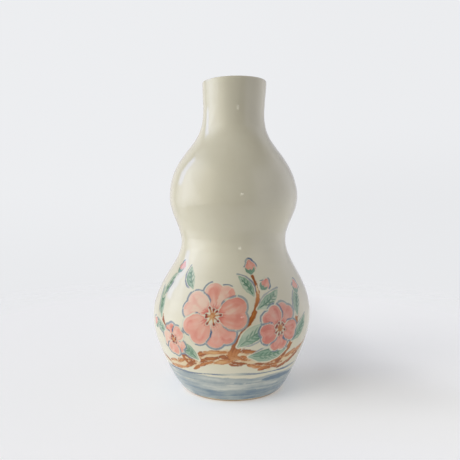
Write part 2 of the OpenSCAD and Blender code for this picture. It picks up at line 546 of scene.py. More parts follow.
def line(name, ix, q, op):
    old = Q[name][ix]
    m = (q < old) & (q < 4.0)
    OP[name][ix] = np.where(m, op, OP[name][ix])
    Q[name][ix] = np.minimum(old, q)


def pen(name, spot, pts, half, op=0.85, seed=0.0, ends=(0.12, 0.3), raw=False):
    """One thin brush line, pressed in the middle and lifted at its ends."""
    path = pts if raw else spot(curve(pts, 18))
    got = near(path, 2.6)
    if got is None:
        return
    ix, d, side, t, ln = got
    w = half * (0.35 + 0.65 * sstep(t, 0, ends[0])) * (0.3 + 0.7 * sstep(1 - t, 0, ends[1]))
    w = w * (1 + 0.22 * vnoise(t * ln * 0.35, 0.5, seed))
    line(name, ix, np.clip(d / w, 0, 4), op * (1 + 0.3 * vnoise(t * ln * 0.3, 3.5, seed)))


def outline(ix, d, t, side, off, half, seed, lo=0.12, op=0.8, sides=(1, 1)):
    """A loose line round a shape, a little outside its edge, that comes and goes."""
    u = t * side
    o = off * (1 + 0.5 * vnoise(u * 2.3, 1.5, seed))
    w = half * (1 + 0.35 * vnoise(u * 4.1, 7.5, seed))
    gate = sstep(t, lo, lo + 0.12) * sstep(vnoise(u * 2.6, 4.5, seed), -0.62, -0.3)
    gate = gate * np.where(side > 0, sides[0], sides[1])
    line("ink", ix, np.clip(np.abs(d - o) / w, 0, 4), np.clip(op * gate * (1 + 0.35 * vnoise(u * 3.3, 9.5, seed)), 0, 1))


def leaf(deg, z, turn, length, half, seed, bend=0.0, veins=4, inkside=1, sx=1.0, dark=0.0):
    spot = Spot(deg, z, turn, sx)
    pts = [(0, 0), (bend * 0.6, length * 0.35), (bend * 0.7, length * 0.7), (bend * 0.2, length)]
    path = spot(curve(pts, 22))
    got = near(path, half + 4)
    if got is None:
        return
    ix, r, side, t, ln = got
    w = half * np.interp(t, [0, 0.08, 0.25, 0.48, 0.75, 0.92, 1], [0.14, 0.34, 0.82, 1.0, 0.72, 0.3, 0.05])
    w = w * np.where(side > 0, 1.0, 0.86)
    d = r - w
    lat = side * r / half
    load = 0.32 + dark + 0.22 * lat * inkside + 0.2 * vnoise(lat * 2.6, t * 1.6, seed) + 0.14 * vnoise(lat * 6, t * 2.2, seed + 5)
    clear(("wash", "bark", "dab", "leaf"), ix, d, 0.75)
    lay("leaf", ix, d + 0.12 * vnoise(t * ln * 0.8, side * 3.0, seed), np.clip(load, 0, 1))
    outline(ix, d, t, side, 0.75, 0.42, seed, 0.05, 0.75, (0.95, 0.0) if inkside > 0 else (0.0, 0.95))
    pen("vein", spot, [(0, length * 0.04), (bend * 0.55, length * 0.4), (bend * 0.5, length * 0.86)], 0.36, 0.75, seed + 1)
    for k in range(veins):
        a = 0.2 + 0.6 * (k + 0.5) / veins
        y = length * a
        xb = float(np.interp(a, [0, 0.35, 0.7, 1], [0, bend * 0.6, bend * 0.7, bend * 0.2]))
        for sg in (-1, 1):
            reach = half * (0.74 if sg > 0 else 0.62) * float(np.interp(a, [0, 0.3, 0.5, 1], [0.4, 0.95, 1, 0.2]))
            pen("vein", spot, [(xb + 0.3 * sg, y - 0.4), (xb + sg * reach * 0.55, y + reach * 0.42),
                               (xb + sg * reach, y + reach * 1.15)], 0.40, 0.62, seed + k + sg, (0.15, 0.6))


def petal(spot, ang, length, notch, base=1.6):
    """One petal of two pressed brush marks that share their foot."""
    parts = []
    for sg in (-1, 1):
        a0, a1 = math.radians(ang), math.radians(ang + sg * notch)
        pts = [(base * math.sin(a0), base * math.cos(a0)),
               (length * 0.5 * math.sin((a0 * 0.6 + a1 * 0.4)), length * 0.5 * math.cos((a0 * 0.6 + a1 * 0.4))),
               (length * math.sin(a1), length * math.cos(a1))]
        parts.append(spot(curve(pts, 12)))
    return parts


def flower(deg, z, size, seed, turn=0.0, sx=1.0, sy=1.0, petals=5, heart=True, spread=360.0, deep=0.0):
    rng = np.random.default_rng(seed)
    spot = Spot(deg, z, 0.0, sx, sy)
    order = list(range(petals))
    order = order[::2] + order[1::2]
    c, pad = spot([(0, 0)])[0], size * 1.35 + 4
    w = pad / 26.0
    rc = wrap(PHI - c[0])
    cols, rows = np.nonzero(np.abs(rc) < w)[0], np.nonzero(np.abs(ROW_S - c[1]) < pad)[0]
    ix = np.ix_(rows, cols)
    for k in order:
        ang = turn + spread * k / petals + rng.uniform(-5, 5)
        length = size * rng.uniform(0.64, 0.72)
        half = size * rng.uniform(0.27, 0.31)
        notch = rng.uniform(12, 17)
        d = np.full((len(rows), len(cols)), 9.0)
        t = np.zeros_like(d)
        lat = np.zeros_like(d)
        for j, path in enumerate(petal(spot, ang, length, notch)):
            got = near(path, half + 6)
            if got is None:
                continue
            (gr, gc), r, side, tt, ln = got
            wd = half * np.interp(tt, [0, 0.2, 0.5, 0.8, 1], [0.2, 0.52, 0.9, 1.02, 0.9])
            sub = np.full_like(d, 9.0)
            # place the window of this mark in the flower's window
            ri = np.searchsorted(rows, gr[:, 0])
            keep_r = (ri < len(rows)) & (rows[np.minimum(ri, len(rows) - 1)] == gr[:, 0])
            ci = np.searchsorted(cols, gc[0])
            keep_c = (ci < len(cols)) & (cols[np.minimum(ci, len(cols) - 1)] == gc[0])
            sel = np.ix_(ri[keep_r], ci[keep_c])
            src = np.ix_(np.nonzero(keep_r)[0], np.nonzero(keep_c)[0])
            dd = (r - wd)[src]
            cur = d[sel]
            m = dd < cur
            d[sel] = np.where(m, dd, cur)
            t[sel] = np.where(m, tt[src], t[sel])
            lat[sel] = np.where(m, (side * r)[src] / half + (j - 0.5) * 0.9, lat[sel])
        d = d + 0.28 * vnoise(lat * 1.1, t * 2.0, seed + k)
        clear(FILLS[:5], ix, d, 0.85)
        load = 0.30 + deep + 0.34 * sstep(0.5 - t, 0, 0.5) + 0.26 * vnoise(lat * 1.3, t * 1.2, seed + k * 3)
        load = load + 0.20 * vnoise(lat * 5.0, t * 1.4, seed + k * 5) + rng.uniform(-0.12, 0.14)
        load = load + 0.16 * sstep(t, 0.8, 1.0) * sstep(-d, 0.2, 1.4)
        lay("petal", ix, d, np.clip(load, 0, 1))
        outline(ix, d, t, np.sign(lat + 1e-3), 0.8, 0.46, seed + k, 0.3, 0.85)
        # two or three finer streaks from the foot of the petal
        for q in (-0.5, 0.05, 0.55):
            a = math.radians(ang + q * 24)
            pen("vein", spot, [(size * 0.16 * math.sin(a), size * 0.16 * math.cos(a)),
                               (size * 0.30 * math.sin(a), size * 0.30 * math.cos(a)),
                               (size * rng.uniform(0.40, 0.50) * math.sin(a), size * 0.45 * math.cos(a))],
                0.36, 0.4, seed + k + q, (0.1, 0.7))
    if heart:
        for k in range(9):
            a = math.radians(turn + 360 * k / 9 + rng.uniform(-10, 10))
            ln = size * rng.uniform(0.17, 0.27)
            path = spot(curve([(0, 0), (ln * 0.5 * math.sin(a), ln * 0.5 * math.cos(a)), (ln * math.sin(a), ln * math.cos(a))], 8))
            got = near(path, 2.5)
            if got is None:
                continue
            ixk, r, side, tt, _ = got
            clear(("petal",), ixk, r - np.interp(tt, [0, 1], [0.9, 0.75]), 0.2)
            lay("heart", ixk, r - np.interp(tt, [0, 0.3, 0.75, 1], [0.9, 0.42, 0.34, 0.66]),
                np.clip(0.25 + 0.75 * sstep(tt, 0.6, 1.0) + rng.uniform(-0.15, 0.15), 0, 1))


def bud(deg, z, turn, size, seed, deep=0.1):
    spot = Spot(deg, z, turn)
    path = spot(curve([(0, size * 0.1), (size * 0.06, size * 0.5), (0, size * 0.85)], 12))
    got = near(path, size * 0.6 + 3)
    if got is None:
        return
    ix, r, side, t, ln = got
    w = size * np.interp(t, [0, 0.3, 0.65, 1], [0.22, 0.42, 0.38, 0.16])
    d = r - w + 0.12 * vnoise(t * 4, side * 2.0, seed)
    clear(FILLS[:5], ix, d, 0.6)
    lay("petal", ix, d, np.clip(0.42 + deep + 0.22 * side * r / size + 0.22 * vnoise(side * r * 1.4, t * 2, seed), 0, 1))
    outline(ix, d, t, side, 0.65, 0.42, seed, 0.3, 0.8)
    for sg in (-1, 0, 1):
        p2 = spot(curve([(0, -size * 0.05), (sg * size * 0.26, size * 0.18), (sg * size * 0.34, size * (0.42 if sg else 0.3))], 8))
        got = near(p2, 2.5)
        if got is not None:
            ix2, r2, s2, t2, _ = got
            d2 = r2 - size * np.interp(t2, [0, 0.5, 1], [0.11, 0.12, 0.03])
            clear(("petal",), ix2, d2, 0.1)
            lay("leaf", ix2, d2, 0.6)


def bough(pts, widths, seed, n=60, load0=0.5):
    path = np.array([at(a, z) for a, z in curve(pts, n)])
    got = near(path, 8)
    if got is None:
        return
    ix, r, side, t, ln = got
    w = np.interp(t, np.linspace(0, 1, len(widths)), widths)
    along, lat = t * ln, side * r
    w = w * (1 + 0.20 * vnoise(along * 0.16, side * 1.7, seed) + 0.12 * vnoise(along * 0.5, side * 2.7, seed + 2))
    d = r - w + 0.3 * vnoise(along * 0.8, lat * 0.7, seed + 4)
    clear(("wash",), ix, d, 0.6)
    lay("bark", ix, d + 0.15, 0.3)
    rng = np.random.default_rng(int(seed * 10))
    wide = max(widths)
    rad = radius(path[:, 1])
    step = np.hypot(np.diff(path[:, 0]) * (rad[1:] + rad[:-1]) / 2, np.diff(path[:, 1]))
    cum = np.concatenate([[0], np.cumsum(step)])
    if wide < 2.6:                                   # a twig is one or two long strokes
        load = load0 + 0.30 * vnoise(along * 0.12, lat * 0.5, seed + 8) + 0.22 * vnoise(along * 0.3, lat * 2.0, seed + 9)
        brk = vnoise(along * 0.11, lat * 0.9, seed + 12)
        lay("dab", ix, np.maximum(d, 1.2 * sstep(brk, 0.5, 0.8) - 0.5), np.clip(load + 0.1, 0, 1))
        return
    u = 0.5
    while u < cum[-1] - 0.5:
        i = min(int(np.searchsorted(cum, u)), len(path) - 2)
        tx = wrap(path[i + 1, 0] - path[i, 0]) * rad[i]
        ty = path[i + 1, 1] - path[i, 1]
        q = math.hypot(tx, ty) + 1e-9
        tx, ty = tx / q, ty / q
        wl = float(np.interp(u / cum[-1], np.linspace(0, 1, len(widths)), widths))
        lanes = 1 if wl < 1.7 else (2 if wl < 3.0 else 3)
        for k in range(lanes):
            off = (0 if lanes == 1 else (k / (lanes - 1) - 0.5) * 2 * (wl - 0.9)) + rng.uniform(-0.45, 0.45)
            long_ = rng.uniform(8.0, 15.0) * (0.6 + 0.4 * wl / 4)
            turn = math.radians(rng.uniform(-7, 11))
            dx, dy = tx * math.cos(turn) - ty * math.sin(turn), tx * math.sin(turn) + ty * math.cos(turn)
            slip = rng.uniform(-2.6, 2.6)
            cx, cy = -ty * off + tx * slip, tx * off + ty * slip
            bow = rng.uniform(-0.7, 0.9)
            pts2 = [(cx - dx * long_ / 2, cy - dy * long_ / 2), (cx - dy * bow, cy + dx * bow),
                    (cx + dx * long_ / 2, cy + dy * long_ / 2)]
            c = curve(pts2, 10)
            p2 = np.stack([path[i, 0] + c[:, 0] / rad[i], path[i, 1] + c[:, 1]], 1)
            g2 = near(p2, 4)
            if g2 is None:
                continue
            ix2, r2, s2, t2, l2 = g2
            hw = min(0.62 * wl, rng.uniform(0.7, 1.45))
            hw = hw * np.interp(t2, [0, 0.1, 0.35, 0.7, 0.92, 1], [0.4, 0.8, 1.0, 0.85, 0.5, 0.15])
            hw = hw * (1 + 0.25 * vnoise(t2 * l2 * 0.45, s2 * 1.5, seed + k * 2 + u))
            d2 = r2 - hw + 0.18 * vnoise(t2 * l2 * 0.9, s2 * 2.0, seed + k + u)
            base = load0 + rng.uniform(-0.34, 0.34) + (0.14 if k == 0 else 0.0)
            load = base + 0.30 * vnoise(t2 * 3.0, s2 * r2 * 1.6, seed + u) + 0.12 * sstep(t2, 0.6, 1.0)
            clear(("dab",), ix2, d2, 0.22)
            lay("dab", ix2, d2, np.clip(load, 0, 1))
        u += rng.uniform(5.0, 7.6)


# -- a banded wash round the foot, in three turns of a broad brush
fi, zz = PHI[None, :], ROW_Z[:, None]
per = lambda k, ph: np.sin(k * fi + ph)
for k, (zc, h, ld) in enumerate(((4.4, 3.3, 0.62), (9.4, 2.7, 0.50), (13.6, 1.9, 0.46))):
    mid = zc + 0.35 * per(2, 1.0 + k) + 0.25 * per(5, 2.0 * k) + 0.12 * per(11, 0.7 * k)
    wide = h * (1 + 0.10 * per(3, 2.2 * k) + 0.07 * per(7, 1.1 + k))
    d = np.abs(zz - mid) - wide + 0.22 * vnoise(fi * 16, zz * 0.8, 20 + k)
    load = ld + 0.18 * per(1, 2.5 + 2.1 * k) * per(2, 0.4 + k) + 0.18 * vnoise(fi * 3.0, zz * 0.8, 31 + k)
    load = load + 0.13 * vnoise(fi * 7.0, zz * 1.6, 41 + k)
    lay("wash", np.ix_(range(NR), range(NC)), d, np.clip(load, 0, 1))


def swash(deg0, z0, deg1, z1, half, load, seed):
    """A short flat brush mark laid over the banded wash."""
    pts = [(deg0, z0), ((2 * deg0 + deg1) / 3, z0 * 0.6 + z1 * 0.4 + 0.3), ((deg0 + 2 * deg1) / 3, z0 * 0.3 + z1 * 0.7), (deg1, z1)]
    path = np.array([at(a, z) for a, z in curve(pts, 16)])
    got = near(path, half + 3)
    if got is None:
        return
    ix, r, side, t, ln = got
    w = half * np.interp(t, [0, 0.12, 0.5, 0.85, 1], [0.3, 0.85, 1.0, 0.75, 0.2]) * (1 + 0.2 * vnoise(t * ln * 0.2, side, seed))
    d = r - w + 0.25 * vnoise(t * ln * 0.6, side * r * 0.9, seed + 3)
    deepen("wash", ix, d, np.clip(load + 0.2 * vnoise(t * ln * 0.1, side * r * 0.9, seed + 5), 0, 1))


for row in ((26, 12.9, 66, 13.2, 1.5, 0.92), (-70, 13.0, -30, 12.8, 0.6, 0.72), (-20, 11.9, 16, 11.7, 0.5, 0.70),
            (14, 8.7, 50, 8.6, 0.6, 0.74), (-56, 7.3, -14, 7.2, 0.6, 0.72), (-10, 4.6, 40, 4.5, 0.7, 0.80),
            (82, 13.2, 118, 13.0, 0.9, 0.84), (104, 8.6, 140, 8.7, 0.6, 0.74), (150, 13.1, 190, 13.3, 1.4, 0.88),
            (-150, 12.4, -112, 12.5, 0.7, 0.76), (-128, 8.3, -84, 8.2, 0.6, 0.74), (-196, 6.8, -160, 6.7, 0.6, 0.74),
            (60, 6.0, 100, 5.9, 0.7, 0.76), (-110, 4.9, -62, 5.0, 0.7, 0.76)):
    swash(*row, seed=row[0] * 0.37 + 60)
mid = 17.2 + 0.45 * per(2, 0.3) + 0.3 * per(5, 1.9) + 0.12 * per(13, 0.2)
line("ink", np.ix_(range(NR), range(NC)), np.clip(np.abs(zz - mid) / (0.5 * (1 + 0.4 * per(7, 1.0))), 0, 4) + 0 * fi,
     np.clip(0.55 + 0.5 * vnoise(fi * 4.0, 0 * zz, 50), 0, 1))

# -- front spray
bough([(-70, 23), (-54, 19.5), (-34, 22), (-12, 27), (10, 26.5), (30, 22.5), (52, 24.5), (72, 31)],
      [0.7, 2.2, 3.3, 4.1, 4.2, 3.4, 2.3, 0.6], 3.0)
bough([(-32, 23), (-42, 31), (-53, 42), (-58, 54), (-55, 66)], [2.0, 1.6, 1.2, 0.9, 0.5], 5.0, 40)
bough([(0, 28), (7, 39), (15, 50), (18, 59), (15, 67.5)], [2.4, 1.7, 1.3, 1.0, 0.6], 7.0, 40)
bough([(36, 23.5), (45, 32), (49, 44), (55, 56)], [1.9, 1.4, 1.1, 0.5], 9.0, 36)

leaf(-56, 44, 24, 17, 2.7, 11.0, 1.8, 3, 1)
leaf(-60, 54, -14, 15, 2.3, 12.0, -1.6, 3, -1)
leaf(-50, 36, 62, 13, 2.6, 13.0, 1.2, 3, 1)
leaf(4, 33, -62, 20, 4.3, 14.0, -2.2, 5, -1, dark=0.06)
leaf(12, 27.5, -84, 21, 4.0, 15.0, 2.0, 5, 1, dark=0.10)
leaf(46, 33, -42, 16, 3.7, 16.0, 1.8, 4, 1, dark=0.05)
leaf(50, 46, -20, 14, 3.2, 17.0, -1.4, 4, 1)
leaf(17, 51, -52, 15, 3.1, 18.0, 1.6, 4, 1)
leaf(15, 57, 34, 13, 2.7, 19.0, 1.2, 3, -1)
leaf(-24, 25, 52, 15, 3.2, 20.0, 1.5, 4, 1)
leaf(-31, 60, 24, 13, 2.7, 21.0, -1.4, 3, 1)

bud(14.5, 68, 4, 6.8, 61)
bud(22, 60.5, -40, 6.0, 62)
bud(55, 57, -14, 6.6, 63)
bud(-54, 67, -8, 6.0, 64, 0.0)
bud(-63, 38, 40, 5.6, 65, 0.0)

flower(-13, 48, 17.5, 101, 8, 1.0, 0.98)
flower(33, 41, 13.0, 102, 30, 0.95, 1.0, deep=0.08)
flower(-43, 34, 9.0, 103, -20, 0.9, 1.0, deep=0.04)

# -- back spray
bough([(-196, 22), (-178, 19.5), (-160, 23), (-140, 27), (-120, 23.5), (-104, 24), (-90, 29)],
      [0.6, 2.0, 3.2, 3.8, 3.0, 2.0, 0.6], 23.0)
bough([(-146, 27), (-140, 38), (-128, 50), (-124, 62)], [2.1, 1.5, 1.1, 0.5], 25.0, 36)
bough([(-172, 21), (-182, 32), (-188, 45)], [1.8, 1.3, 0.5], 27.0, 30)
leaf(-184, 38, 20, 15, 3.0, 31.0, 1.5, 4, 1)
leaf(-176, 26, 40, 15, 3.4, 32.0, -1.5, 4, 1)
leaf(-132, 44, -50, 15, 3.3, 33.0, 1.5, 4, 1)
leaf(-126, 56, 26, 13, 2.7, 34.0, 1.2, 3, -1)
leaf(-120, 25, -70, 17, 3.7, 35.0, 1.8, 5, 1, dark=0.08)
leaf(-104, 26, -16, 14, 3.0, 36.0, -1.2, 4, 1)
bud(-124, 62.5, 8, 6.6, 71)
bud(-188, 45.5, 6, 6.2, 72)
bud(-117, 55, -30, 5.6, 73)
flower(-153, 47, 15.0, 111, 20, 0.97, 1.0)
flower(-118, 39, 10.0, 112, 0, 0.95, 1.0, deep=0.06)

# -- a small sprig on the right
bough([(96, 22), (108, 24), (120, 31), (126, 42), (124, 54)], [1.0, 1.9, 1.6, 1.1, 0.5], 43.0, 40)
leaf(122, 36, -48, 14, 3.0, 51.0, 1.4, 4, 1)
leaf(126, 44, 34, 12, 2.6, 52.0, 1.2, 3, -1)
leaf(104, 24, 30, 14, 3.0, 53.0, -1.3, 4, 1)
bud(124, 54.5, 8, 6.4, 81)
bud(131, 48, -36, 5.4, 82)
flower(111, 37, 10.5, 121, 12, 0.95, 1.0, deep=0.04)


def vertex_attribute(ob, rows, name, a, b, c, rest):
    """Stores three values per painted vertex; rest is for all the others."""
    val = np.tile(np.array(rest, np.float32), (len(ob.data.vertices), 1))
    for i in range(NR):
        s0, cnt = rows[n_roll + i]
        val[s0:s0 + cnt] = np.stack([a[i], b[i], c[i]], 1)
    at_ = ob.data.attributes.new(name, "FLOAT_VECTOR", "POINT")
    at_.data.foreach_set("vector", val.ravel())


for k in FILLS:
    D[k] = np.clip(D[k], -3, 3)
vertex_attribute(glaze, glaze_rows, "wash_bark", D["wash"], LOAD["wash"], D["bark"], (3, 0.4, 3))
vertex_attribute(glaze, glaze_rows, "bark_leaf", LOAD["dab"], D["leaf"], LOAD["leaf"], (0.4, 3, 0.4))
vertex_attribute(glaze, glaze_rows, "petal_heart", D["petal"], LOAD["petal"], D["heart"], (3, 0.4, 3))
vertex_attribute(glaze, glaze_rows, "heart_ink", LOAD["heart"], Q["ink"], OP["ink"], (0.4, 4, 0))
vertex_attribute(glaze, glaze_rows, "vein", Q["vein"], OP["vein"], D["dab"], (4, 0, 3))

# ---- lower thrown section
recess = np.array([[0, 2.2], [6, 2.25], [14, 2.35], [19.6, 2.4], [21.3, 2.3], [22.3, 1.8], [22.9, 1.0], [23.25, 0.35],
                   [23.6, 0.08], [24.1, 0.0], [26.1, 0.0], [26.6, 0.08], [26.95, 0.35], [27.35, 0.8],
                   [27.9, 1.3]])
recess = resample(recess, 0.45)
low_out = out_line(GLAZE_LINE + 0.25, WAIST_Z - SLIP_T / 2, -GLAZE_T)
low_in = in_line(19, WAIST_Z - SLIP_T / 2, GLAZE_T)
lower_mer = joined(recess, resample(low_out, 1.6),
                   resample(np.array([low_out[-1], low_in[-1]]), 1.2),
                   resample(low_in[::-1], 1.8), resample(corner(GLAZE_T), 1.4),
                   resample(np.array([[18.0, FLOOR_Z - GLAZE_T], [0, FLOOR_Z - GLAZE_T]]), 2.5))
lower, _ = revolve("clay_lower", lower_mer, columns(120, 100))

# ---- upper thrown section
up_out = out_line(WAIST_Z + SLIP_T / 2, LIP_Z, -GLAZE_T)
up_in = joined(in_line(WAIST_Z + SLIP_T / 2, 148.1, GLAZE_T), np.array([[14.4, 148.1], [14.4, LIP_Z]]))
upper_mer = joined(resample(up_out, 1.6), lip_arc(LIP_RAD - GLAZE_T, 0, 180, 16),
                   resample(up_in[::-1], 1.8), resample(np.array([up_in[0], up_out[0]]), 1.2))[:-1]
upper, _ = revolve("clay_upper", upper_mer, columns(100, 80))

# ---- luting slip, flush with the clay on both sides
so, si = out_line(WAIST_Z - SLIP_T / 2, WAIST_Z + SLIP_T / 2, -GLAZE_T, 5), in_line(WAIST_Z - SLIP_T / 2, WAIST_Z + SLIP_T / 2, GLAZE_T, 5)
slip_mer = joined(so, resample(np.array([so[-1], si[-1]]), 0.8), si[::-1], resample(np.array([si[0], so[0]]), 0.8))[:-1]
slip, _ = revolve("luting_slip", slip_mer, columns(90, 70))

# ---- liner glaze
bore = np.array([[14.0, 148.1], [14.0, LIP_Z]])
lin_face = joined(np.array([[0, FLOOR_Z], [18.0, FLOOR_Z]]), corner(0)[::-1], in_line(19, 148.1, 0), bore)
lin_back = joined(np.array([[14.4, LIP_Z], [14.4, 148.1]]), in_line(19, 148.1, GLAZE_T)[::-1], corner(GLAZE_T),
                  np.array([[18.0, FLOOR_Z - GLAZE_T], [0, FLOOR_Z - GLAZE_T]]))
face_r = resample(lin_face, 1.0)
back_r = resample(lin_back, 5.0)
liner_mer = np.concatenate([back_r[::-1], face_r[::-1]])
liner, _ = revolve("glaze_liner", liner_mer, columns(110, 90))

# ------------------------------------------------------------- materials
def glaze_material():
    n = Nodes("painted_glaze")
    pos = n.coords()
    slow = n.noise(n.mapping(pos, (1, 1, 0.6)), 28, 3, 0.55)
    fine = n.noise(pos, 190, 3, 0.6)
    bleed = n.noise(pos, 1100, 2, 0.55)

    def parts(name):
        sp = n.t.nodes.new("ShaderNodeSeparateXYZ")
        n.t.links.new(n.attr(name, "Vector"), sp.inputs[0])
        return sp.outputs[0], sp.outputs[1], sp.outputs[2]

    wash_d, wash_l, bark_d = parts("wash_bark")
    bark_l, leaf_d, leaf_l = parts("bark_leaf")
    petal_d, petal_l, heart_d = parts("petal_heart")
    heart_l, ink_q, ink_o = parts("heart_ink")
    vein_q, vein_o, dab_d = parts("vein")
    jig = n.span(bleed, 0.3, 0.7, -0.10, 0.10)

    cream = n.mix(n.step(slow, 0.35, 0.7), rgb(232, 227, 203), rgb(227, 221, 195))
    cream = n.mix(n.math("MULTIPLY", n.step(fine, 0.55, 0.8), 0.12), cream, rgb(214, 206, 178))
    col = cream

    def fill(col, d, load, thin, mid, deep, soft, most):
        e = n.math("ADD", d, jig)
        edge = n.step(e, -0.9, -0.12)                      # colour gathers at a stroke's edge
        ld = n.math("ADD", load, n.math("MULTIPLY", edge, 0.16))
        ld = n.math("ADD", ld, n.span(fine, 0.3, 0.7, -0.08, 0.08))
        c = n.mix(n.step(ld, 0.05, 0.5), thin, mid)
        c = n.mix(n.step(ld, 0.45, 0.95), c, deep)
        m = n.math("MULTIPLY", n.span(e, -soft, soft, 1.0, 0.0), n.span(ld, 0.0, 0.6, most * 0.72, most))
        return n.mix(m, col, c)

    col = fill(col, wash_d, wash_l, rgb(208, 212, 205), rgb(158, 171, 173), rgb(104, 129, 148), 0.4, 0.95)
    col = n.mix(n.math("MULTIPLY", n.span(n.math("ADD", bark_d, jig), -0.5, 0.4, 1.0, 0.0), n.span(fine, 0.3, 0.7, 0.35, 0.75)),
                col, rgb(233, 195, 134))
    col = fill(col, dab_d, bark_l, rgb(222, 166, 98), rgb(196, 120, 54), rgb(156, 80, 30), 0.22, 0.96)
    col = fill(col, leaf_d, leaf_l, rgb(187, 204, 180), rgb(143, 176, 149), rgb(80, 132, 107), 0.24, 0.93)
    col = fill(col, petal_d, petal_l, rgb(243, 198, 176), rgb(235, 163, 143), rgb(220, 122, 106), 0.24, 0.95)
    col = fill(col, heart_d, heart_l, rgb(222, 160, 84), rgb(196, 116, 52), rgb(150, 48, 44), 0.18, 0.97)
    vq = n.math("ADD", vein_q, n.math("MULTIPLY", jig, 1.6))
    vm = n.math("MULTIPLY", n.span(vq, 0.75, 1.3, 1.0, 0.0), vein_o)
    vein_c = n.mix(n.span(n.math("ADD", petal_d, 0.0), -0.3, 0.3, 0.0, 1.0), rgb(206, 88, 82), rgb(70, 124, 98))
    col = n.mix(vm, col, vein_c)
    iq = n.math("ADD", ink_q, n.math("MULTIPLY", jig, 1.8))
    im = n.math("MULTIPLY", n.span(iq, 0.7, 1.35, 1.0, 0.0), ink_o)
    ink_c = n.mix(n.span(ink_o, 0.35, 0.95, 0.0, 1.0), rgb(150, 168, 170), rgb(84, 108, 138))
    col = n.mix(im, col, ink_c)

    rough = n.span(slow, 0.3, 0.7, 0.025, 0.05)
    h = n.math("ADD", n.math("MULTIPLY", n.noise(pos, 120, 2, 0.5), 1.0), n.math("MULTIPLY", n.noise(pos, 420, 2, 0.5), 0.12))
    b = n.bsdf(Base_Color=col, Roughness=rough, Normal=n.bump(h, 0.09, 0.0006))
    b.inputs["IOR"].default_value = 1.5
    return n.mat


def liner_material():
    n = Nodes("liner_glaze")
    pos = n.coords()
    slow = n.noise(n.mapping(pos, (1, 1, 0.5)), 30, 3, 0.55)
    col = n.mix(n.step(slow, 0.3, 0.7), rgb(232, 228, 206), rgb(226, 220, 196))
    h = n.noise(pos, 140, 2, 0.5)
    n.bsdf(Base_Color=col, Roughness=n.span(slow, 0.3, 0.7, 0.04, 0.08), Normal=n.bump(h, 0.12, 0.0006))
    return n.mat


def clay_material(name, a, b_):
    n = Nodes(name)
    pos = n.coords()
    slow = n.noise(pos, 60, 4, 0.6)
    grit = n.noise(pos, 1500, 3, 0.65)
    col = n.mix(n.step(slow, 0.3, 0.7), a, b_)
    col = n.mix(n.math("MULTIPLY", n.step(grit, 0.56, 0.72), 0.5), col, rgb(120, 92, 62))
    turn = n.noise(n.mapping(pos, (120, 120, 2600)), 1.0, 2, 0.5)
    h = n.math("ADD", n.math("MULTIPLY", grit, 0.7), n.math("MULTIPLY", turn, 0.5))
    n.bsdf(Base_Color=col, Roughness=n.span(grit, 0.3, 0.7, 0.72, 0.9), Normal=n.bump(h, 0.45, 0.0003))
    return n.mat


glaze.data.materials.append(glaze_material())
liner.data.materials.append(liner_material())
clay_mat = clay_material("bare_clay", rgb(196, 172, 138), rgb(178, 150, 112))
lower.data.materials.append(clay_mat)
upper.data.materials.append(clay_mat)
slip.data.materials.append(clay_material("fired_slip", rgb(186, 166, 136), rgb(170, 146, 112)))

for ob, nodes, slot in ((glaze, ("outer_glaze",), "painted_glaze"), (liner, ("liner_glaze",), "liner_glaze"),
                        (lower, ("lower_bulb",), "bare_clay"), (upper, ("upper_bulb",), "bare_clay"),
                        (slip, ("waist_slip",), "luting_slip")):
    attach(ob, "root")
    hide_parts(*nodes)

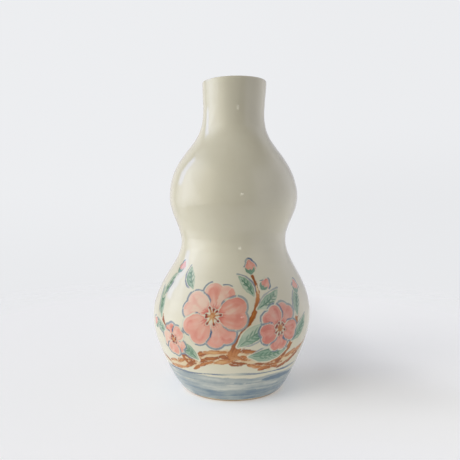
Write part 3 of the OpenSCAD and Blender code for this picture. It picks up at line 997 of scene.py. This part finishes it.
# ------------------------------------------------------------------ stage
def floor_disc():
    rings = [0.0, 0.02, 0.05, 0.1, 0.2, 0.3, 0.4, 0.5]
    seg = 96
    verts = [(0, 0, 0)]
    for r in rings[1:]:
        verts += [(r * math.cos(2 * math.pi * i / seg), r * math.sin(2 * math.pi * i / seg), 0) for i in range(seg)]
    faces = [(0, 1 + i, 1 + (i + 1) % seg) for i in range(seg)]
    for k in range(len(rings) - 2):
        a, b = 1 + k * seg, 1 + (k + 1) * seg
        faces += [(a + i, b + i, b + (i + 1) % seg, a + (i + 1) % seg) for i in range(seg)]
    me = bpy.data.meshes.new("stage_floor")
    me.from_pydata(verts, [], faces)
    ob = bpy.data.objects.new("stage_floor", me)
    bpy.context.scene.collection.objects.link(ob)
    n = Nodes("stage_paper")
    pos = n.coords()
    d = n.t.nodes.new("ShaderNodeVectorMath")
    d.operation = "DISTANCE"
    n.t.links.new(pos, d.inputs[0])
    d.inputs[1].default_value = (0.0, 0.08, 0.0)
    fade = n.step(d.outputs["Value"], 0.20, 0.38)
    grain = n.noise(pos, 900, 3, 0.6)
    b = n.t.nodes.new("ShaderNodeBsdfPrincipled")
    b.inputs["Roughness"].default_value = 0.9
    b.inputs["Specular IOR Level"].default_value = 0.2
    b.inputs["Emission Color"].default_value = (0.985, 0.99, 0.99, 1)
    ao = n.t.nodes.new("ShaderNodeAmbientOcclusion")
    ao.samples = 16
    ao.inputs["Distance"].default_value = 0.09
    sp = n.t.nodes.new("ShaderNodeSeparateXYZ")
    n.t.links.new(pos, sp.inputs[0])
    # in the glaze's mirror image the paper is in shade in front; seen directly it is pale all over
    lit = n.span(sp.outputs[1], -0.17, -0.10, 0.35, 1.0)
    lit = n.math("MAXIMUM", lit, n.t.nodes.new("ShaderNodeLightPath").outputs["Is Camera Ray"])
    # the shade under the belly, fainter on the window's side and in front
    X, Y = sp.outputs[0], sp.outputs[1]
    shade = n.math("MULTIPLY", n.math("SUBTRACT", 1.0, ao.outputs["AO"]), n.span(X, -0.04, 0.025, 0.13, 0.31))
    shade = n.math("MULTIPLY", shade, n.span(Y, -0.022, 0.012, 0.66, 1.0))
    # painted shadow: the paper's glow is lowered in two faint long bands, one straight back, one to the right
    back = n.math("MULTIPLY", n.math("MULTIPLY", n.step(X, -0.05, 0.0), n.step(X, 0.115, 0.055)),
                  n.math("MULTIPLY", n.step(Y, 0.02, 0.11), n.step(Y, 0.36, 0.20)))
    side = n.math("MULTIPLY", n.math("MULTIPLY", n.step(X, 0.03, 0.065), n.step(X, 0.14, 0.085)),
                  n.math("MULTIPLY", n.step(Y, -0.055, -0.012), n.step(Y, 0.065, 0.02)))
    shade = n.math("ADD", shade, n.math("ADD", n.math("MULTIPLY", back, 0.12), n.math("MULTIPLY", side, 0.072)))
    # painted light: the paper glows a little brighter towards the front
    front = n.span(Y, -0.07, 0.0, 0.009, 0.0)
    n.put(b.inputs["Emission Strength"], n.math("MULTIPLY", n.math("SUBTRACT", n.math("ADD", front, 0.443), shade), lit))
    paper = n.mix(n.step(grain, 0.3, 0.7), (0.66, 0.658, 0.652, 1), (0.67, 0.668, 0.662, 1))
    n.put(b.inputs["Base Color"], n.mix(lit, (0.30, 0.29, 0.28, 1), paper))
    tr = n.t.nodes.new("ShaderNodeBsdfTransparent")
    mx = n.t.nodes.new("ShaderNodeMixShader")
    n.put(mx.inputs[0], fade)
    n.t.links.new(b.outputs[0], mx.inputs[1])
    n.t.links.new(tr.outputs[0], mx.inputs[2])
    n.t.links.new(mx.outputs[0], n.out.inputs[0])
    me.materials.append(n.mat)


floor_disc()

# ------------------------------------------------------------------ light
scene = bpy.context.scene
scene.view_settings.view_transform = "Standard"
scene.view_settings.look = "None"
scene.view_settings.exposure = 0
scene.view_settings.gamma = 1

WALL_L, PANE_L, SKY_L, LAMP_L = 1.55, 1.6, 1.2, 3.7
world = bpy.data.worlds.new("room")
scene.world = world
world.use_nodes = True
wt = world.node_tree
wt.nodes.clear()


def wnode(kind):
    return wt.nodes.new(kind)


w_out = wnode("ShaderNodeOutputWorld")
coord = wnode("ShaderNodeTexCoord")
sep = wnode("ShaderNodeSeparateXYZ")
wt.links.new(coord.outputs["Generated"], sep.inputs[0])


def wmap(sock, lo, hi, a, b):
    m = wnode("ShaderNodeMapRange")
    m.interpolation_type = "SMOOTHSTEP"
    wt.links.new(sock, m.inputs["Value"])
    for k, v in (("From Min", lo), ("From Max", hi), ("To Min", a), ("To Max", b)):
        m.inputs[k].default_value = v
    return m.outputs[0]


def wmath(op, a, b):
    m = wnode("ShaderNodeMath")
    m.operation = op
    for s, v in zip(m.inputs, (a, b)):
        if isinstance(v, bpy.types.NodeSocket):
            wt.links.new(v, s)
        else:
            s.default_value = v
    return m.outputs[0]


def wmath1(op, a):
    m = wnode("ShaderNodeMath")
    m.operation = op
    wt.links.new(a, m.inputs[0])
    return m.outputs[0]


def wramp(sock, lo, hi):
    """0 below lo, 1 above hi, or the other way round where lo > hi; degrees."""
    if lo < hi:
        return wmap(sock, lo, hi, 0.0, 1.0)
    return wmap(sock, hi, lo, 1.0, 0.0)


def wcolor(fac, a, b):
    m = wnode("ShaderNodeMix")
    m.data_type = "RGBA"
    wt.links.new(fac, m.inputs[0])
    m.inputs[6].default_value, m.inputs[7].default_value = a, b
    return m.outputs[2]


def wscale(color, strength):
    m = wnode("ShaderNodeVectorMath")
    m.operation = "SCALE"
    wt.links.new(color, m.inputs[0])
    wt.links.new(strength, m.inputs[3])
    return m.outputs[0]


def wadd(a, b):
    m = wnode("ShaderNodeVectorMath")
    m.operation = "ADD"
    wt.links.new(a, m.inputs[0])
    wt.links.new(b, m.inputs[1])
    return m.outputs[0]


# Directions in degrees: azimuth 0 is in front of the vase, + to the right; elevation above
# the table. The light is a big window on the left, with a net curtain and a bright wall
# beside it, in a pale room that is dim in front of the vase.
azi = wmath("MULTIPLY", wmath("ARCTAN2", sep.outputs["X"], wmath("MULTIPLY", sep.outputs["Y"], -1.0)), 57.2958)
ele = wmath("MULTIPLY", wmath1("ARCSINE", sep.outputs["Z"]), 57.2958)

room_az = wmath("MAXIMUM", wmath("MULTIPLY", wmath("MULTIPLY", wramp(azi, 26.0, 52.0), wmap(azi, 80.0, 104.0, 1.0, 1.24)),
                                wmap(azi, 120.0, 146.0, 1.0, 0.58)),
                wmath("MULTIPLY", wramp(azi, -124.0, -140.0), 0.72))
room_el = wmath("MULTIPLY", wramp(ele, 56.0, 34.0), wmap(ele, -34.0, 4.0, 0.72, 0.99))
room = wmath("ADD", wmath("MULTIPLY", room_az, room_el), 0.02)
room_c = wcolor(wramp(azi, 20.0, 110.0), (1.0, 0.97, 1.03, 1), (0.985, 0.985, 1.06, 1))

wall = wmath("MULTIPLY", wramp(azi, -130.0, -106.0), wramp(azi, -20.0, -60.0))
wall = wmath("MULTIPLY", wall, wmath("MULTIPLY", wramp(ele, -32.0, -14.0), wramp(ele, 58.0, 38.0)))
wall = wmath("MULTIPLY", wall, wmap(ele, 14.0, 34.0, 0.92, 1.08))
wall_c = wcolor(wramp(azi, -40.0, -95.0), (1.05, 1.0, 0.88, 1), (0.96, 1.0, 1.16, 1))

# the window: a blind hangs slantwise across it as seen from the vase, and its right part is
# a little dimmer
pane = wmath("MULTIPLY", wmap(wmath("ADD", azi, wmath("MULTIPLY", ele, 1.4)), -54.5, -49.5, 1.0, 0.36), wramp(azi, -58.5, -62.5))
pane = wmath("MULTIPLY", pane, wramp(ele, 62.0, 48.0))
pane = wmath("MULTIPLY", pane, wmath("MULTIPLY", wramp(azi, -106.0, -102.0), wramp(ele, -9.0, -5.5)))
pane = wmath("MULTIPLY", pane, wmath("MULTIPLY", wmath("MULTIPLY", wmap(azi, -86.0, -66.0, 1.0, 0.75), wmap(azi, -104.0, -90.0, 0.68, 1.0)),
                                 wmap(ele, -4.0, 14.0, 0.6, 1.0)))
sill = wmath("MULTIPLY", wmath("MULTIPLY", wramp(azi, -112.0, -104.0), wramp(azi, -56.0, -60.0)),
             wmath("MULTIPLY", wramp(ele, -26.0, -18.0), wramp(ele, -5.5, -9.0)))

# sky beside the window, through a narrow light
sky = wmath("MULTIPLY", wramp(azi, -126.0, -119.0), wramp(azi, -105.0, -110.0))
sky = wmath("MULTIPLY", sky, wmath("MULTIPLY", wramp(ele, 10.0, 15.0), wramp(ele, 45.0, 40.0)))

# a small lamp in the dim part of the room, which leaves the tiny glints on the front
spot = wmath("MULTIPLY", wmath("MULTIPLY", wramp(azi, 10.5, 12.0), wramp(azi, 18.0, 16.5)),
             wmath("MULTIPLY", wramp(ele, 9.5, 11.0), wramp(ele, 15.5, 14.0)))

total = wscale(room_c, room)
total = wadd(total, wscale(wall_c, wmath("MULTIPLY", wall, WALL_L)))
total = wadd(total, wscale(wcolor(wramp(azi, -70.0, -100.0), (0.98, 1.0, 1.02, 1), (0.92, 0.98, 1.14, 1)),
                           wmath("MULTIPLY", wmath("ADD", pane, wmath("MULTIPLY", sill, 0.22)), PANE_L)))
total = wadd(total, wscale(wcolor(wramp(azi, -126.0, -106.0), (0.50, 0.72, 1.6, 1), (0.60, 0.85, 2.0, 1)),
                           wmath("MULTIPLY", sky, SKY_L)))
total = wadd(total, wscale(wcolor(azi, (1.0, 0.97, 0.9, 1), (1.0, 0.97, 0.9, 1)), wmath("MULTIPLY", spot, LAMP_L)))
path = wnode("ShaderNodeLightPath")
total = wscale(total, wmap(path.outputs["Is Glossy Ray"], 0.0, 1.0, 0.70, 1.0))
bg_room = wnode("ShaderNodeBackground")
wt.links.new(total, bg_room.inputs["Color"])
bg_seen = wnode("ShaderNodeBackground")
bg_seen.inputs["Color"].default_value = (0.838, 0.847, 0.866, 1)
# the paper behind: a little dimmer low down, and sooner so on the right
seen_l, seen_r = wmap(sep.outputs["Z"], -0.17, 0.06, 0.972, 1.008), wmap(sep.outputs["Z"], 0.0, 0.17, 0.964, 0.998)
seen = wmath("ADD", seen_l, wmath("MULTIPLY", wmath("SUBTRACT", seen_r, seen_l), wramp(sep.outputs["X"], -0.06, 0.24)))
wt.links.new(seen, bg_seen.inputs["Strength"])
wmix = wnode("ShaderNodeMixShader")
wt.links.new(path.outputs["Is Camera Ray"], wmix.inputs[0])
wt.links.new(bg_room.outputs[0], wmix.inputs[1])
wt.links.new(bg_seen.outputs[0], wmix.inputs[2])
wt.links.new(wmix.outputs[0], w_out.inputs[0])

# the broad, soft glow from the front left that draws the shadow on the paper; the glaze's
# mirror image of that side is already in the room
sun_d = bpy.data.lights.new("glow", "SUN")
sun_d.energy, sun_d.angle, sun_d.color = 1.05, math.radians(36.0), (1.0, 0.995, 0.985)
sun = bpy.data.objects.new("glow", sun_d)
sun.rotation_euler = (math.radians(90.0 - 40.0), 0.0, math.radians(-50.0))
sun.visible_glossy = False
bpy.context.scene.collection.objects.link(sun)


# ----------------------------------------------------------------- camera
F_PX = 500.0
cam_d = bpy.data.cameras.new("camera")
cam_d.sensor_width = 36.0
cam_d.lens = 36.0 * F_PX / 460.0
cam_d.clip_start, cam_d.clip_end = 0.01, 20
cam = bpy.data.objects.new("camera", cam_d)
cam.location = (-0.0014, -0.2828, 0.0996)
cam.rotation_euler = (math.radians(90 - 2.35), 0, 0)
bpy.context.scene.collection.objects.link(cam)
scene.camera = cam

bpy.context.view_layer.update()
